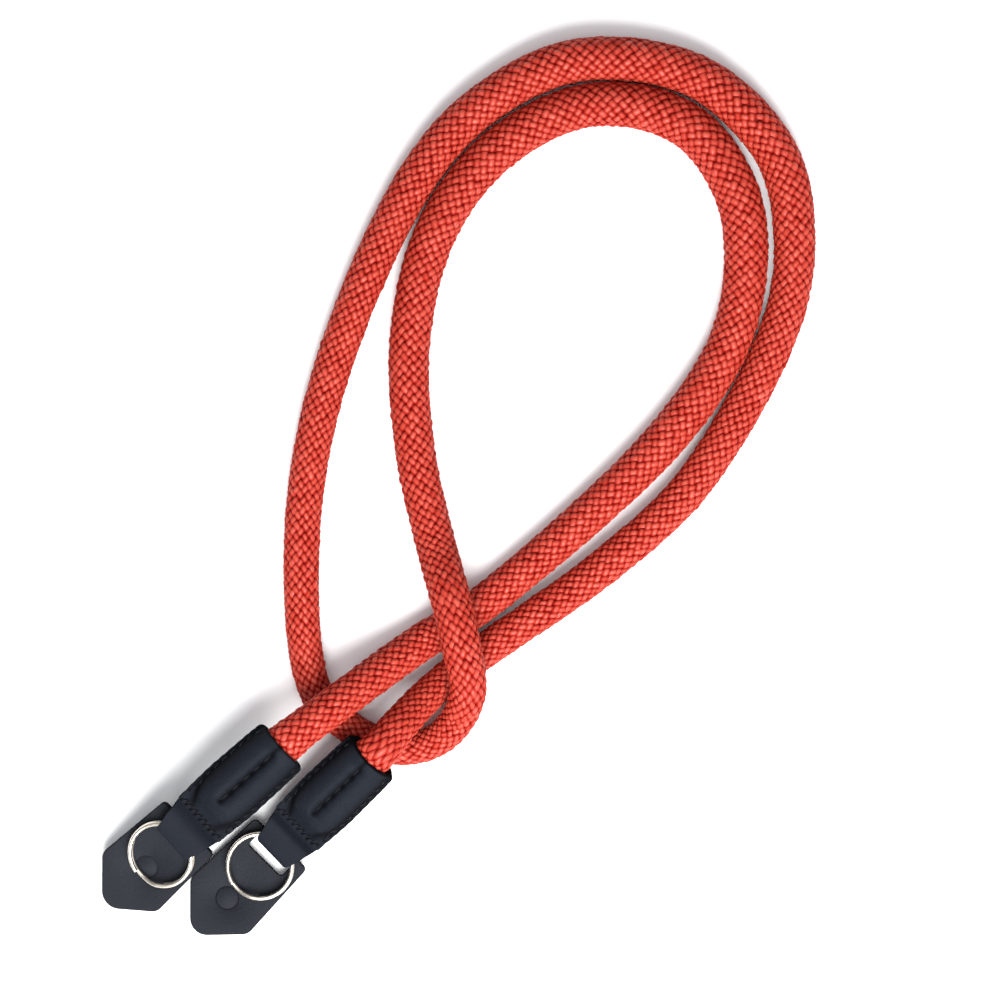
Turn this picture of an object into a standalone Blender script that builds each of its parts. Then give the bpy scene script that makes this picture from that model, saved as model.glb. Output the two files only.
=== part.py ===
# Camera rope strap: a braided rope whose two tips are sewn into leather sleeves.
# Each sleeve folds into a neck loop that holds a split ring and a leather protector.
# Units are metres, +Z is up. The strap lies on the plane Z = 0.
# +X is the photograph's right, +Y its top. The origin is under the middle of the two leather ends.

import math
from collections import namedtuple

import bmesh
import bpy
from mathutils import Matrix, Vector

MM = 0.001

# Clearance between pieces that touch
FIT = 0.3 * MM

# Rope. Its tip is flattened in the sleeve, with a stitched groove along its middle.
ROPE_DIAMETER = 10.0 * MM
ROPE_END_LENGTH = 25.2 * MM
ROPE_STRAIGHT = 3.0 * MM
ROPE_GROOVE = 0.8 * MM
ROPE_GROOVE_WIDTH = 1.1 * MM
ROPE_WIDTH_AT_MOUTH = 0.96
FLATTENED = 1.13

# The rope's tube gets a point for each ROPE_SPACING of its length and each ROPE_TURN_DEG of its turns
ROPE_SPACING = 22.0 * MM
ROPE_TURN_DEG = 48.0

# Leather sleeve, sewn flat beside the rope and across its end
LEATHER = 1.0 * MM
LEATHER_EDGE_ROUNDING = 0.3 * MM
SEAM_WIDTH = 1.15 * MM
CROSS_SEAM_LENGTH = 2.6 * MM

# Neck loop, with the room that the protector has to slip along it
LOOP_PLAY = 2.4 * MM
FOLD_LENGTH = 2.3 * MM
CLOSING_LENGTH = 3.4 * MM
NECK_BEND_LENGTH = 3.0 * MM
NECK_SIDE_PLAY = 2.3 * MM
NECK_WIDENING = 0.75

# Split ring
RING_DIAMETER = 17.2 * MM
RING_WIRE = 1.1 * MM
RING_TURN_GAP = 0.1 * MM
RING_CROSSOVER_DEG = 40.0
RING_END_GAP_DEG = 6.0
RING_SIDE_SHIFT = 0.3 * MM
RING_STEPS = 62

# Protector flap
PROTECTOR_THICKNESS = 1.5 * MM
PROTECTOR_SIDE_LENGTH = 22.2 * MM
PROTECTOR_POINT_LENGTH = 8.6 * MM
PROTECTOR_FLARE = 1.0 * MM
PROTECTOR_BESIDE_SLOT = 3.4 * MM
PROTECTOR_STRIP = 2.0 * MM
PROTECTOR_EDGE_ROUNDING = 0.25 * MM
TOP_CORNER_RADIUS = 1.2 * MM
SHOULDER_CORNER_RADIUS = 2.4 * MM
TIP_CORNER_RADIUS = 3.2 * MM

# Slot in the protector
SLOT_WIDTH = 4.0 * MM
SLOT_SIDE_PLAY = 0.5 * MM
SLOT_END_PLAY = 0.6 * MM
SLOT_CORNER_RADIUS = 0.8 * MM

# Sizes that follow from the ones above
ROPE_RADIUS = ROPE_DIAMETER / 2
ROPE_LIFT = ROPE_DIAMETER + FIT
SLEEVE_HALF_WIDTH = FLATTENED * ROPE_RADIUS + FIT + LEATHER + SEAM_WIDTH
RING_RADIUS = (RING_DIAMETER - RING_WIRE) / 2
RING_HEIGHT = 2 * RING_WIRE + RING_TURN_GAP
FOLD_HALF_WIDTH = RING_RADIUS - RING_WIRE / 2 - NECK_SIDE_PLAY
SLOT_HALF_LENGTH = FOLD_HALF_WIDTH + SLOT_SIDE_PLAY
RING_CHORD = math.sqrt(RING_RADIUS ** 2 - (FOLD_HALF_WIDTH + RING_SIDE_SHIFT) ** 2)
ROOM_FOR_PROTECTOR = SLOT_END_PLAY + PROTECTOR_STRIP + LOOP_PLAY
ROOM_FOR_RING = RING_WIRE + RING_RADIUS - RING_CHORD + 2 * FIT
OPEN_LENGTH = LEATHER + max(ROOM_FOR_PROTECTOR, ROOM_FOR_RING)
NECK_LENGTH = OPEN_LENGTH + CLOSING_LENGTH
SLEEVE_LENGTH = NECK_LENGTH + CROSS_SEAM_LENGTH + ROPE_END_LENGTH
LOOP_HALF = (PROTECTOR_THICKNESS + RING_HEIGHT + 3 * FIT) / 2
PROTECTOR_LENGTH = PROTECTOR_SIDE_LENGTH + PROTECTOR_POINT_LENGTH
PROTECTOR_BOTTOM = FIT - LOOP_HALF
RING_BOTTOM = PROTECTOR_BOTTOM + PROTECTOR_THICKNESS + FIT

# Each end of the strap: where its fold lies (mm), which way its sleeve runs in plan, how steeply neck
# and sleeve rise, how the protector is turned, where the ring's wire ends (degrees), and how far
# the protector has slipped, as a share of its play
End = namedtuple("End", "name fold_x fold_y heading neck_tilt sleeve_tilt flap_turn ring_end slip")
ENDS = (
    End("left", -18.7, -3.4, 41.6, 22.0, 2.5, 1.0, 175.0, 1.0),
    End("right", 5.6, -6.5, 44.1, 3.4, 19.5, 1.2, 171.0, 0.0),
)

# Route of the rope between the sleeves' mouths, from the left one to the right one.
# x, y (mm), level (0 lies on the surface, 1 lies over another strand), width as a share of the rope's
ROUTE = (
    (20.7, 30.2, 0.92, 0.94),
    (44.1, 47.0, 0.03, 0.93),
    (56.7, 54.7, 0.0, 0.90),
    (106.3, 99.7, 0.0, 1.04),
    (122.1, 126.8, 0.0, 1.06),
    (122.7, 156.8, 0.0, 1.14),
    (109.0, 176.0, 0.0, 1.14),
    (85.5, 180.7, 0.0, 1.10),
    (62.4, 169.5, 0.0, 1.07),
    (46.9, 148.9, 0.0, 1.05),
    (40.4, 122.0, 0.0, 1.02),
    (41.7, 94.3, 0.0, 0.99),
    (46.7, 71.5, 0.22, 1.0),
    (50.7, 57.0, 0.87, 1.0),
    (53.4, 45.0, 1.0, 0.98),
    (54.9, 34.8, 0.8, 0.92),
    (51.8, 26.5, 0.27, 0.86),
    (45.7, 21.3, 0.03, 0.82),
    (36.9, 19.8, 0.0, 0.8),
    (25.9, 24.7, 0.0, 0.80),
    (16.9, 34.0, 0.0, 0.82),
    (13.3, 69.5, 0.0, 0.89),
    (19.7, 110.5, 0.0, 0.93),
    (42.0, 162.2, 0.0, 1.0),
    (59.9, 181.6, 0.0, 1.04),
    (82.9, 191.9, 0.0, 1.09),
    (112.1, 187.8, 0.0, 1.10),
    (131.3, 169.8, 0.0, 1.10),
    (136.4, 150.6, 0.0, 1.05),
    (133.7, 127.4, 0.0, 0.98),
    (111.8, 86.9, 0.0, 0.94),
    (88.9, 65.4, 0.0, 0.91),
    (62.5, 46.7, 0.0, 0.86),
    (50.3, 38.0, 0.02, 0.84),
    (42.9, 31.4, 0.40, 0.86),
    (36.9, 24.8, 0.84, 0.92),
)

# The rope's hidden end, from outside the mouth to its tip inside the sleeve.
# share of ROPE_END_LENGTH from the mouth, half width and half height as shares of the rope's
# radius, share of the stitched groove
ROPE_END = (
    (-0.09, 0.90, 0.90, 0.0),
    (-0.02, 1.02, 0.88, 0.0),
    (0.12, 1.10, 0.80, 0.5),
    (0.34, FLATTENED, 0.75, 1.0),
    (0.70, FLATTENED, 0.72, 1.0),
    (0.82, 1.09, 0.68, 0.4),
    (0.91, 0.98, 0.58, 0.0),
    (0.97, 0.76, 0.42, 0.0),
    (1.0, 0.48, 0.26, 0.0),
)

# The sleeve round it: share of ROPE_END_LENGTH from the mouth, half width as a share of the widest,
# half width and half height of the room in its bulge as shares of the rope's radius, groove share
BULGE = (
    (0.0, 0.95, 1.06, 0.88, 0.2),
    (0.12, 0.96, 1.10, 0.81, 0.6),
    (0.34, 0.98, FLATTENED, 0.76, 1.0),
    (0.66, 1.0, FLATTENED, 0.73, 1.0),
    (0.80, 0.99, 1.10, 0.70, 0.5),
    (0.90, 0.97, 1.02, 0.62, 0.0),
    (0.97, 0.96, 0.87, 0.48, 0.0),
    (1.02, 0.95, 0.67, 0.25, 0.0),
    (1.05, 0.94, 0.52, 0.0, 0.0),
)

# How far the neck loop stands open, as a share of LOOP_HALF: at its fold, with shares of FOLD_LENGTH,
# and where its layers come together, with shares of CLOSING_LENGTH
FOLD_OUTSIDE = (
    (0.0, 0.25),
    (0.17, 0.68),
    (0.5, 0.93),
    (1.0, 1.0),
)
FOLD_INSIDE = (
    (0.0, 0.72),
    (0.12, 0.94),
    (0.37, 1.0),
)
CLOSING = (
    (0.0, 1.0),
    (0.5, 0.5),
    (0.95, 0.05),
)

# A section of the bulge: where its points lie, as shares of its half width, and the two exponents
# that make its top flat and its sides steep
ACROSS = (0.0, 0.1, 0.22, 0.38, 0.55, 0.72, 0.87, 0.97)
BULGE_FLATNESS = 2.4
BULGE_STEEPNESS = 0.62
ROPE_END_SIDES = 20

# Vertices nearer than this are one
WELD = 0.001 * MM


def clear_scene():
    for item in list(bpy.data.objects):
        bpy.data.objects.remove(item)


def new_collection(name):
    collection = bpy.data.collections.new(name)
    bpy.context.scene.collection.children.link(collection)
    return collection


def new_material(name, colour, roughness, metallic):
    material = bpy.data.materials.new(name)
    material.use_nodes = True
    shader = material.node_tree.nodes["Principled BSDF"]
    shader.inputs["Base Color"].default_value = (*colour, 1.0)
    shader.inputs["Roughness"].default_value = roughness
    shader.inputs["Metallic"].default_value = metallic
    return material


def curve_object(name, collection, material):
    curve = bpy.data.curves.new(name, "CURVE")
    item = bpy.data.objects.new(name, curve)
    collection.objects.link(item)
    curve.materials.append(material)
    curve.render_resolution_u = 0
    return item


def as_mesh(item):
    """Make a mesh object of a curve, with its caps welded on."""
    graph = bpy.context.evaluated_depsgraph_get()
    mesh = bpy.data.meshes.new_from_object(item.evaluated_get(graph))
    shape = bmesh.new()
    shape.from_mesh(mesh)
    bmesh.ops.remove_doubles(shape, verts=shape.verts, dist=WELD)
    shape.to_mesh(mesh)
    shape.free()
    name = item.name
    collection = item.users_collection[0]
    place = item.matrix_world.copy()
    bpy.data.objects.remove(item)
    result = bpy.data.objects.new(name, mesh)
    result.matrix_world = place
    collection.objects.link(result)
    return result


def loft(name, rings, collection):
    """A closed solid through rings of points, each ring with as many points as the next."""
    shape = bmesh.new()
    rows = [[shape.verts.new(point) for point in ring] for ring in rings]
    for one, two in zip(rows, rows[1:]):
        for k in range(len(one)):
            after = (k + 1) % len(one)
            shape.faces.new((one[k], one[after], two[after], two[k]))
    shape.faces.new(rows[0])
    shape.faces.new(rows[-1])
    bmesh.ops.recalc_face_normals(shape, faces=shape.faces)
    mesh = bpy.data.meshes.new(name)
    shape.to_mesh(mesh)
    shape.free()
    item = bpy.data.objects.new(name, mesh)
    collection.objects.link(item)
    return item


def combine(item, operation, name, rings, cutters):
    """Cut a lofted body out of a piece, or join it to the piece."""
    other = loft(name, rings, cutters)
    other.hide_render = True
    other.display_type = "WIRE"
    modifier = item.modifiers.new(name, "BOOLEAN")
    modifier.operation = operation
    modifier.solver = "EXACT"
    modifier.object = other


def protector_top(end):
    """Where the protector's top edge lies along the neck, measured from the fold."""
    slipped = end.slip * (LOOP_PLAY - FIT)
    return LEATHER + SLOT_END_PLAY + slipped + PROTECTOR_STRIP


def end_frame(end):
    """Frame of one neck loop: origin on its fold, X towards the mouth, Z out of its leather. It is as
    high as the tip of its protector needs to rest on the surface."""
    tilt = math.radians(end.neck_tilt)
    tip = PROTECTOR_LENGTH - protector_top(end)
    height = math.sin(tilt) * tip - math.cos(tilt) * PROTECTOR_BOTTOM
    place = Matrix.Translation((end.fold_x * MM, end.fold_y * MM, height))
    return place @ Matrix.Rotation(math.radians(end.heading), 4, "Z") @ Matrix.Rotation(-tilt, 4, "Y")


def middle(end, distance):
    """Point and slope of the sleeve's middle plane at a distance along the leather from the fold."""
    if distance <= OPEN_LENGTH:
        return distance, 0.0, 0.0
    bent = min(distance - OPEN_LENGTH, NECK_BEND_LENGTH)
    straight = distance - OPEN_LENGTH - bent
    angle = math.radians(end.sleeve_tilt - end.neck_tilt) * bent / NECK_BEND_LENGTH
    x = OPEN_LENGTH + bent * math.cos(angle / 2) + straight * math.cos(angle)
    z = bent * math.sin(angle / 2) + straight * math.sin(angle)
    return x, z, angle


def section(end, distance, outline):
    """Outline points (across, height) stood up on the sleeve's middle plane."""
    x, z, angle = middle(end, distance)
    frame = end_frame(end)
    return [frame @ Vector((x - h * math.sin(angle), y, z + h * math.cos(angle))) for y, h in outline]


def groove_depth(y, depth):
    return depth * math.exp(-((y / ROPE_GROOVE_WIDTH) ** 2))


def both_sides(half):
    """Full outline from the points of its upper right quarter, which run from the middle outwards."""
    upper = [(-y, h) for y, h in reversed(half[1:])] + half
    lower = [(y, -h) for y, h in reversed(upper)]
    return upper + lower


def sleeve_outline(half_width, layer, bulge_half, rise, groove):
    """Two layers sewn flat along the edges, raised over the rope in the middle."""
    half = []
    for share in ACROSS:
        height = layer + rise * (1 - share ** BULGE_FLATNESS) ** BULGE_STEEPNESS
        y = share * bulge_half
        half.append((y, height - groove_depth(y, min(groove, rise))))
    half.append((half_width - LEATHER_EDGE_ROUNDING, layer))
    half.append((half_width, layer - LEATHER_EDGE_ROUNDING))
    return both_sides(half)


def rope_outline(half_width, half_height, groove):
    points = []
    for k in range(ROPE_END_SIDES):
        angle = 2 * math.pi * (k + 0.5) / ROPE_END_SIDES
        y = half_width * math.cos(angle)
        h = half_height * math.sin(angle)
        dent = groove_depth(y, groove)
        points.append((y, h - math.copysign(min(dent, abs(h) / 2), h)))
    return points


def rope_end_rings(end, grow):
    """Sections of the flattened rope end, grown by a clearance."""
    rings = []
    for share, width, height, groove in ROPE_END:
        distance = SLEEVE_LENGTH - share * ROPE_END_LENGTH
        half_width = width * ROPE_RADIUS + grow
        half_height = height * ROPE_RADIUS + grow
        rings.append(section(end, distance, rope_outline(half_width, half_height, groove * ROPE_GROOVE)))
    return rings


def loop_rows(fold, start):
    """Distance from the fold and opening of the neck loop, along its outside or its inside."""
    rows = [(start + share * FOLD_LENGTH, opening) for share, opening in fold]
    return rows + [(OPEN_LENGTH + share * CLOSING_LENGTH, opening) for share, opening in CLOSING]


def neck_rings(end):
    """Outside of the neck loop, which widens from its fold to the cross seam."""
    rings = []
    for distance, opening in loop_rows(FOLD_OUTSIDE, 0.0):
        widened = NECK_WIDENING * distance / NECK_LENGTH
        half_width = FOLD_HALF_WIDTH + (SLEEVE_HALF_WIDTH - FOLD_HALF_WIDTH) * widened
        layer = LEATHER + opening * LOOP_HALF
        outline = sleeve_outline(half_width, layer, half_width - 2 * LEATHER_EDGE_ROUNDING, 0.0, 0.0)
        rings.append(section(end, distance, outline))
    return rings


def bulge_rings(end):
    """Outside of the sleeve over the rope's end, from the cross seam to the mouth."""
    rings = []
    for share, width, room_width, room_height, groove in reversed(BULGE):
        half_width = width * SLEEVE_HALF_WIDTH
        bulge_half = room_width * ROPE_RADIUS + FIT + LEATHER
        rise = room_height * ROPE_RADIUS + FIT if room_height else 0.0
        outline = sleeve_outline(half_width, LEATHER, bulge_half, rise, groove * ROPE_GROOVE)
        rings.append(section(end, SLEEVE_LENGTH - share * ROPE_END_LENGTH, outline))
    return rings


def loop_space_rings(end):
    """The space inside the neck loop, open on both sides."""
    rings = []
    for distance, opening in loop_rows(FOLD_INSIDE, LEATHER):
        y = 2 * SLEEVE_HALF_WIDTH
        h = opening * LOOP_HALF
        rings.append(section(end, distance, ((-y, -h), (y, -h), (y, h), (-y, h))))
    return rings


def sleeve(end, collection, cutters, material):
    """Neck loop, cross seam and rope sleeve in one folded and sewn piece of leather."""
    item = loft(end.name + "_sleeve", neck_rings(end) + bulge_rings(end), collection)
    item.data.materials.append(material)
    combine(item, "DIFFERENCE", end.name + "_rope_room", rope_end_rings(end, FIT), cutters)
    combine(item, "DIFFERENCE", end.name + "_loop_space", loop_space_rings(end), cutters)


def split_ring(end, collection, material):
    """Two turns of wire: the first lies on the protector, then the wire crosses up on to it."""
    item = curve_object(end.name + "_ring", collection, material)
    item.data.dimensions = "3D"
    item.data.bevel_depth = RING_WIRE / 2
    item.data.bevel_resolution = 2
    item.data.use_fill_caps = True
    pitch = RING_WIRE + RING_TURN_GAP
    first_turn = 360.0 - RING_CROSSOVER_DEG - RING_END_GAP_DEG
    total = 2 * first_turn + RING_CROSSOVER_DEG
    spline = item.data.splines.new("POLY")
    spline.points.add(RING_STEPS)
    for k, point in enumerate(spline.points):
        travelled = total * k / RING_STEPS
        rise = (travelled - first_turn) / RING_CROSSOVER_DEG
        rise = min(max(rise, 0.0), 1.0)
        z = pitch * rise * rise * (3 - 2 * rise)
        angle = math.radians(end.ring_end - total + travelled)
        point.co = (RING_RADIUS * math.cos(angle), RING_RADIUS * math.sin(angle), z, 1.0)
    centre_x = LEATHER + FIT + RING_WIRE / 2 - RING_CHORD
    place = Matrix.Translation((centre_x, -RING_SIDE_SHIFT, RING_BOTTOM + RING_WIRE / 2))
    item.matrix_world = end_frame(end) @ place


def rounded(corners, steps=5):
    """Outline through corners (x, y, radius), each rounded by an arc."""
    points = []
    count = len(corners)
    for k, (x, y, radius) in enumerate(corners):
        corner = Vector((x, y))
        before = (Vector(corners[k - 1][:2]) - corner).normalized()
        after = (Vector(corners[(k + 1) % count][:2]) - corner).normalized()
        half = before.angle(after) / 2
        bisector = (before + after).normalized()
        centre = corner + bisector * radius / math.sin(half)
        start = corner + before * radius / math.tan(half) - centre
        end = corner + after * radius / math.tan(half) - centre
        turn = start.angle_signed(end)
        for step in range(steps + 1):
            arm = start.copy()
            arm.rotate(Matrix.Rotation(-turn * step / steps, 2))
            points.append(centre + arm)
    return points


def protector_outline():
    """Shield shape from its top edge at 0 to its rounded tip, which lies at the protector's length."""
    top = SLOT_HALF_LENGTH + PROTECTOR_BESIDE_SLOT
    shoulder = top + PROTECTOR_FLARE
    to_centre = Vector((PROTECTOR_POINT_LENGTH - TIP_CORNER_RADIUS, shoulder))
    slope = math.atan2(to_centre.y, to_centre.x) - math.asin(TIP_CORNER_RADIUS / to_centre.length)
    tip = PROTECTOR_SIDE_LENGTH + shoulder / math.tan(slope)
    return (
        (0.0, -top, TOP_CORNER_RADIUS),
        (0.0, top, TOP_CORNER_RADIUS),
        (-PROTECTOR_SIDE_LENGTH, shoulder, SHOULDER_CORNER_RADIUS),
        (-tip, 0.0, TIP_CORNER_RADIUS),
        (-PROTECTOR_SIDE_LENGTH, -shoulder, SHOULDER_CORNER_RADIUS),
    )


def slot_outline():
    near = -PROTECTOR_STRIP
    far = near - SLOT_WIDTH
    return (
        (near, -SLOT_HALF_LENGTH, SLOT_CORNER_RADIUS),
        (near, SLOT_HALF_LENGTH, SLOT_CORNER_RADIUS),
        (far, SLOT_HALF_LENGTH, SLOT_CORNER_RADIUS),
        (far, -SLOT_HALF_LENGTH, SLOT_CORNER_RADIUS),
    )


def protector(end, collection, material):
    """Flap with a slot for the neck loop, flat and tilted with its loop."""
    item = curve_object(end.name + "_protector", collection, material)
    item.data.dimensions = "2D"
    item.data.fill_mode = "BOTH"
    item.data.bevel_depth = PROTECTOR_EDGE_ROUNDING
    item.data.bevel_resolution = 1
    item.data.offset = -PROTECTOR_EDGE_ROUNDING
    item.data.extrude = PROTECTOR_THICKNESS / 2 - PROTECTOR_EDGE_ROUNDING
    for outline in (protector_outline(), slot_outline()):
        points = rounded(outline)
        spline = item.data.splines.new("POLY")
        spline.points.add(len(points) - 1)
        spline.use_cyclic_u = True
        for target, point in zip(spline.points, points):
            target.co = (point.x, point.y, 0.0, 1.0)
    turn = Matrix.Rotation(math.radians(end.flap_turn), 4, "Z")
    centre = Matrix.Translation((0.0, 0.0, PROTECTOR_BOTTOM + PROTECTOR_THICKNESS / 2))
    to_top = Matrix.Translation((protector_top(end), 0.0, 0.0))
    item.matrix_world = end_frame(end) @ centre @ turn @ to_top


def smooth(points):
    """Points along a smooth curve (centripetal Catmull-Rom) through the given points, without the
    first and last span, which only set the curve's directions."""
    knots = [0.0]
    for one, two in zip(points, points[1:]):
        knots.append(knots[-1] + math.sqrt((two.xyz - one.xyz).length))
    result = []
    for k in range(1, len(points) - 2):
        p0, p1, p2, p3 = points[k - 1:k + 3]
        t0, t1, t2, t3 = knots[k - 1:k + 3]
        turn = math.degrees((p1.xyz - p0.xyz).angle(p3.xyz - p2.xyz))
        steps = max(1, round((p2.xyz - p1.xyz).length / ROPE_SPACING + turn / ROPE_TURN_DEG))
        for step in range(steps):
            t = t1 + (t2 - t1) * step / steps
            a1 = p0.lerp(p1, (t - t0) / (t1 - t0))
            a2 = p1.lerp(p2, (t - t1) / (t2 - t1))
            a3 = p2.lerp(p3, (t - t2) / (t3 - t2))
            b1 = a1.lerp(a2, (t - t0) / (t2 - t0))
            b2 = a2.lerp(a3, (t - t1) / (t3 - t1))
            result.append(b1.lerp(b2, (t - t1) / (t2 - t1)))
    result.append(points[-2])
    return result


def mouth_lead(end):
    """Points along a sleeve's middle line, from inside its mouth to where the free rope begins."""
    lead = []
    for past_mouth in (-ROPE_END_LENGTH / 2, FIT, ROPE_STRAIGHT):
        centre = section(end, SLEEVE_LENGTH + past_mouth, ((0.0, 0.0),))[0]
        lead.append(Vector((*centre, ROPE_WIDTH_AT_MOUTH * ROPE_RADIUS)))
    return lead


def rope_points():
    """The rope's middle line from mouth to mouth; the fourth number is its radius."""
    route = []
    for x, y, level, width in ROUTE:
        radius = width * ROPE_RADIUS
        route.append(Vector((x * MM, y * MM, radius + level * ROPE_LIFT, radius)))
    left, right = ENDS
    line = smooth(mouth_lead(left) + route + mouth_lead(right)[::-1])
    for point in line:
        point.z = max(point.z, point.w)
    return line


def rope(collection, cutters, material):
    """Round tube along the route, joined to the flattened ends that sit in the sleeves."""
    item = curve_object("rope", collection, material)
    item.data.dimensions = "3D"
    item.data.bevel_depth = ROPE_RADIUS
    item.data.bevel_resolution = 3
    item.data.use_fill_caps = True
    line = rope_points()
    spline = item.data.splines.new("POLY")
    spline.points.add(len(line) - 1)
    for target, point in zip(spline.points, line):
        target.co = (*point.xyz, 1.0)
        target.radius = point.w / ROPE_RADIUS
    item = as_mesh(item)
    for end in ENDS:
        combine(item, "UNION", end.name + "_rope_tip", rope_end_rings(end, 0.0), cutters)


def main():
    clear_scene()
    strap = new_collection("camera_rope_strap")
    cutters = new_collection("cutters")
    red = new_material("red braid", (0.62, 0.05, 0.03), 0.75, 0.0)
    black = new_material("black leather", (0.018, 0.021, 0.026), 0.6, 0.0)
    steel = new_material("steel", (0.75, 0.70, 0.62), 0.25, 1.0)
    rope(strap, cutters, red)
    for end in ENDS:
        sleeve(end, strap, cutters, black)
        split_ring(end, strap, steel)
        protector(end, strap, black)


main()
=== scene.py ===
import math

import bpy
import numpy as np
from mathutils import Matrix, Vector
from mathutils.geometry import delaunay_2d_cdt


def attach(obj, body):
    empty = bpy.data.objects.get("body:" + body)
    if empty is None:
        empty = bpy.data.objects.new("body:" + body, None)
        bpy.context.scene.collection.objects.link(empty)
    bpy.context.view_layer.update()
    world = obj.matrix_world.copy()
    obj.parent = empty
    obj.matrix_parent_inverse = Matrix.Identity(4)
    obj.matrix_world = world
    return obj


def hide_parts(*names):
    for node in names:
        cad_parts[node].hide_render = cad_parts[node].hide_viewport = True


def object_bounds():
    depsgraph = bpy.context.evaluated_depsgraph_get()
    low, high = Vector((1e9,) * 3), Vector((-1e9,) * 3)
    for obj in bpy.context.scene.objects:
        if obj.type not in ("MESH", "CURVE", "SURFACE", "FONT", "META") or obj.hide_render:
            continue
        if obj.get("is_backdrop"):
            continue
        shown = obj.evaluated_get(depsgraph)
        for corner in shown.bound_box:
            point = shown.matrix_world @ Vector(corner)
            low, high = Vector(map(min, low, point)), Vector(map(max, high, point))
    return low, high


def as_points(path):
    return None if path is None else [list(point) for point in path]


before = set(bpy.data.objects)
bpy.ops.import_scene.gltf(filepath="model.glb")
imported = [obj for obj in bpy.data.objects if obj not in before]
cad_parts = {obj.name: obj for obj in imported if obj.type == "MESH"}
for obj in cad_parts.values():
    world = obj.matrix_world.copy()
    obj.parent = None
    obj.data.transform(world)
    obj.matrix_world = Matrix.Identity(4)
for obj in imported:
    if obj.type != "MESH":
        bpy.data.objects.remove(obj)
cad_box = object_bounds()

# The view: the strap lies on a table and is seen from straight above, through a long lens that
# stands 2 m over the middle of the strap, so that near and far pieces keep the same scale.
FOCAL_LENGTH = 287.3
SENSOR_WIDTH = 36.0
LENS_PLACE = (0.0629, 0.0820, 2.0)

camera = bpy.data.objects.new("camera", bpy.data.cameras.new("camera"))
camera.data.sensor_width = SENSOR_WIDTH
camera.data.lens = FOCAL_LENGTH
camera.location = LENS_PLACE
bpy.context.scene.collection.objects.link(camera)
bpy.context.scene.camera = camera

# The rope is a round braid of 10 mm: 24 strands of red polyester yarn run round a core one way and
# 24 the other way, each over two and under two, so that their floats stand in rows along the rope.
# Both tips are pressed flat and held in the leather ends. It lies loose in two loops on the table.
MM = 0.001
ROPE_RADIUS = 5.0 * MM
ROPE_LIFT = 10.3 * MM
ROPE_TIP = 25.2 * MM
RADIUS_AT_MOUTH = 0.96 * ROPE_RADIUS
LINE_STEP = 0.5 * MM
CORE_DEPTH = 0.7 * MM
CORE_SIDES = 22
CORE_STEP = 1.3 * MM
TIP_SQUEEZE = 1.6 * MM
BRAID_PAST_MOUTH = 5.0 * MM
FLOAT_ROWS = 12
FLOAT_PITCH = 2.6 * MM
FLOAT_SLOPE = 36.0
FLOAT_HALF_LENGTH = 1.65 * MM
FLOAT_HALF_WIDTH = 0.88 * MM
FLOAT_TAPER = 0.16
FLOAT_ROUNDING = 0.5 * MM
FLOAT_ARC = 0.96
FLOAT_DIVE = 0.9 * MM
DIVE_POWER = 3.4
FLOAT_CROWN = 0.2 * MM
FLOAT_SUNK = 0.05 * MM
CREST_DEPTH = 0.6 * MM
OVER_TABLE = 0.05 * MM

# Where a float has its points, as shares of its half length and of its half width
ALONG_FLOAT = (-1.0, -0.74, -0.28, 0.28, 0.74, 1.0)
ACROSS_FLOAT = (-1.0, -0.66, 0.0, 0.66, 1.0)
FLOAT_POINTS = len(ALONG_FLOAT) * len(ACROSS_FLOAT)

# How unlike the floats are: place along the rope, turn round it in radians, slope in degrees, size
# and shade as shares, and height
PLACE_SPREAD = 0.1 * MM
TURN_SPREAD = 0.012
SLOPE_SPREAD = 2.2
SIZE_SPREAD = 0.06
SHADE_SPREAD = 0.13
HEIGHT_SPREAD = 0.06 * MM

# How the leather ends lie that hold its tips. Each is a folded and sewn strip that points from its
# fold, at the lower left, to its open mouth, where the rope comes out; both are propped up by what
# they hold. Places, lengths and angles are in mm and degrees. The pressed ring in each flap gets
# painted shade in its groove, more on the right end than on the left.
LEATHER = 1.0 * MM
OPEN_LENGTH = 6.0 * MM
CLOSING_LENGTH = 3.4 * MM
NECK_LENGTH = OPEN_LENGTH + CLOSING_LENGTH
NECK_BEND_LENGTH = 3.0 * MM
SLEEVE_LENGTH = 37.2 * MM
ENDS = {
    "left": {
        "fold": (-18.7, -3.4),
        "heading": 41.6,
        "neck_tilt": 22.0,
        "sleeve_tilt": 2.5,
        "flap_turn": 1.0,
        "flap_top": 5.7,
        "ring_end": 175.0,
        "mark": -15.8,
        "mark_painted_shade": 0.35,
    },
    "right": {
        "fold": (5.6, -6.5),
        "heading": 44.1,
        "neck_tilt": 3.4,
        "sleeve_tilt": 19.5,
        "flap_turn": 1.2,
        "flap_top": 3.6,
        "ring_end": 171.0,
        "mark": -19.3,
        "mark_painted_shade": 0.85,
    },
}
FLAP_LENGTH = 30.8 * MM
FLAP_BOTTOM = -2.05 * MM


def end_frame(end):
    """Frame of one end: origin on its fold, X towards the mouth, Z out of its leather."""
    tilt = math.radians(end["neck_tilt"])
    tip = FLAP_LENGTH - end["flap_top"] * MM
    height = math.sin(tilt) * tip - math.cos(tilt) * FLAP_BOTTOM
    place = Matrix.Translation((end["fold"][0] * MM, end["fold"][1] * MM, height))
    turned = place @ Matrix.Rotation(math.radians(end["heading"]), 4, "Z")
    return np.array(turned @ Matrix.Rotation(-tilt, 4, "Y"))


def placed(matrix, points):
    """Points, in the last axis of an array, moved by a frame."""
    return points @ matrix[:3, :3].T + matrix[:3, 3]


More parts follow.
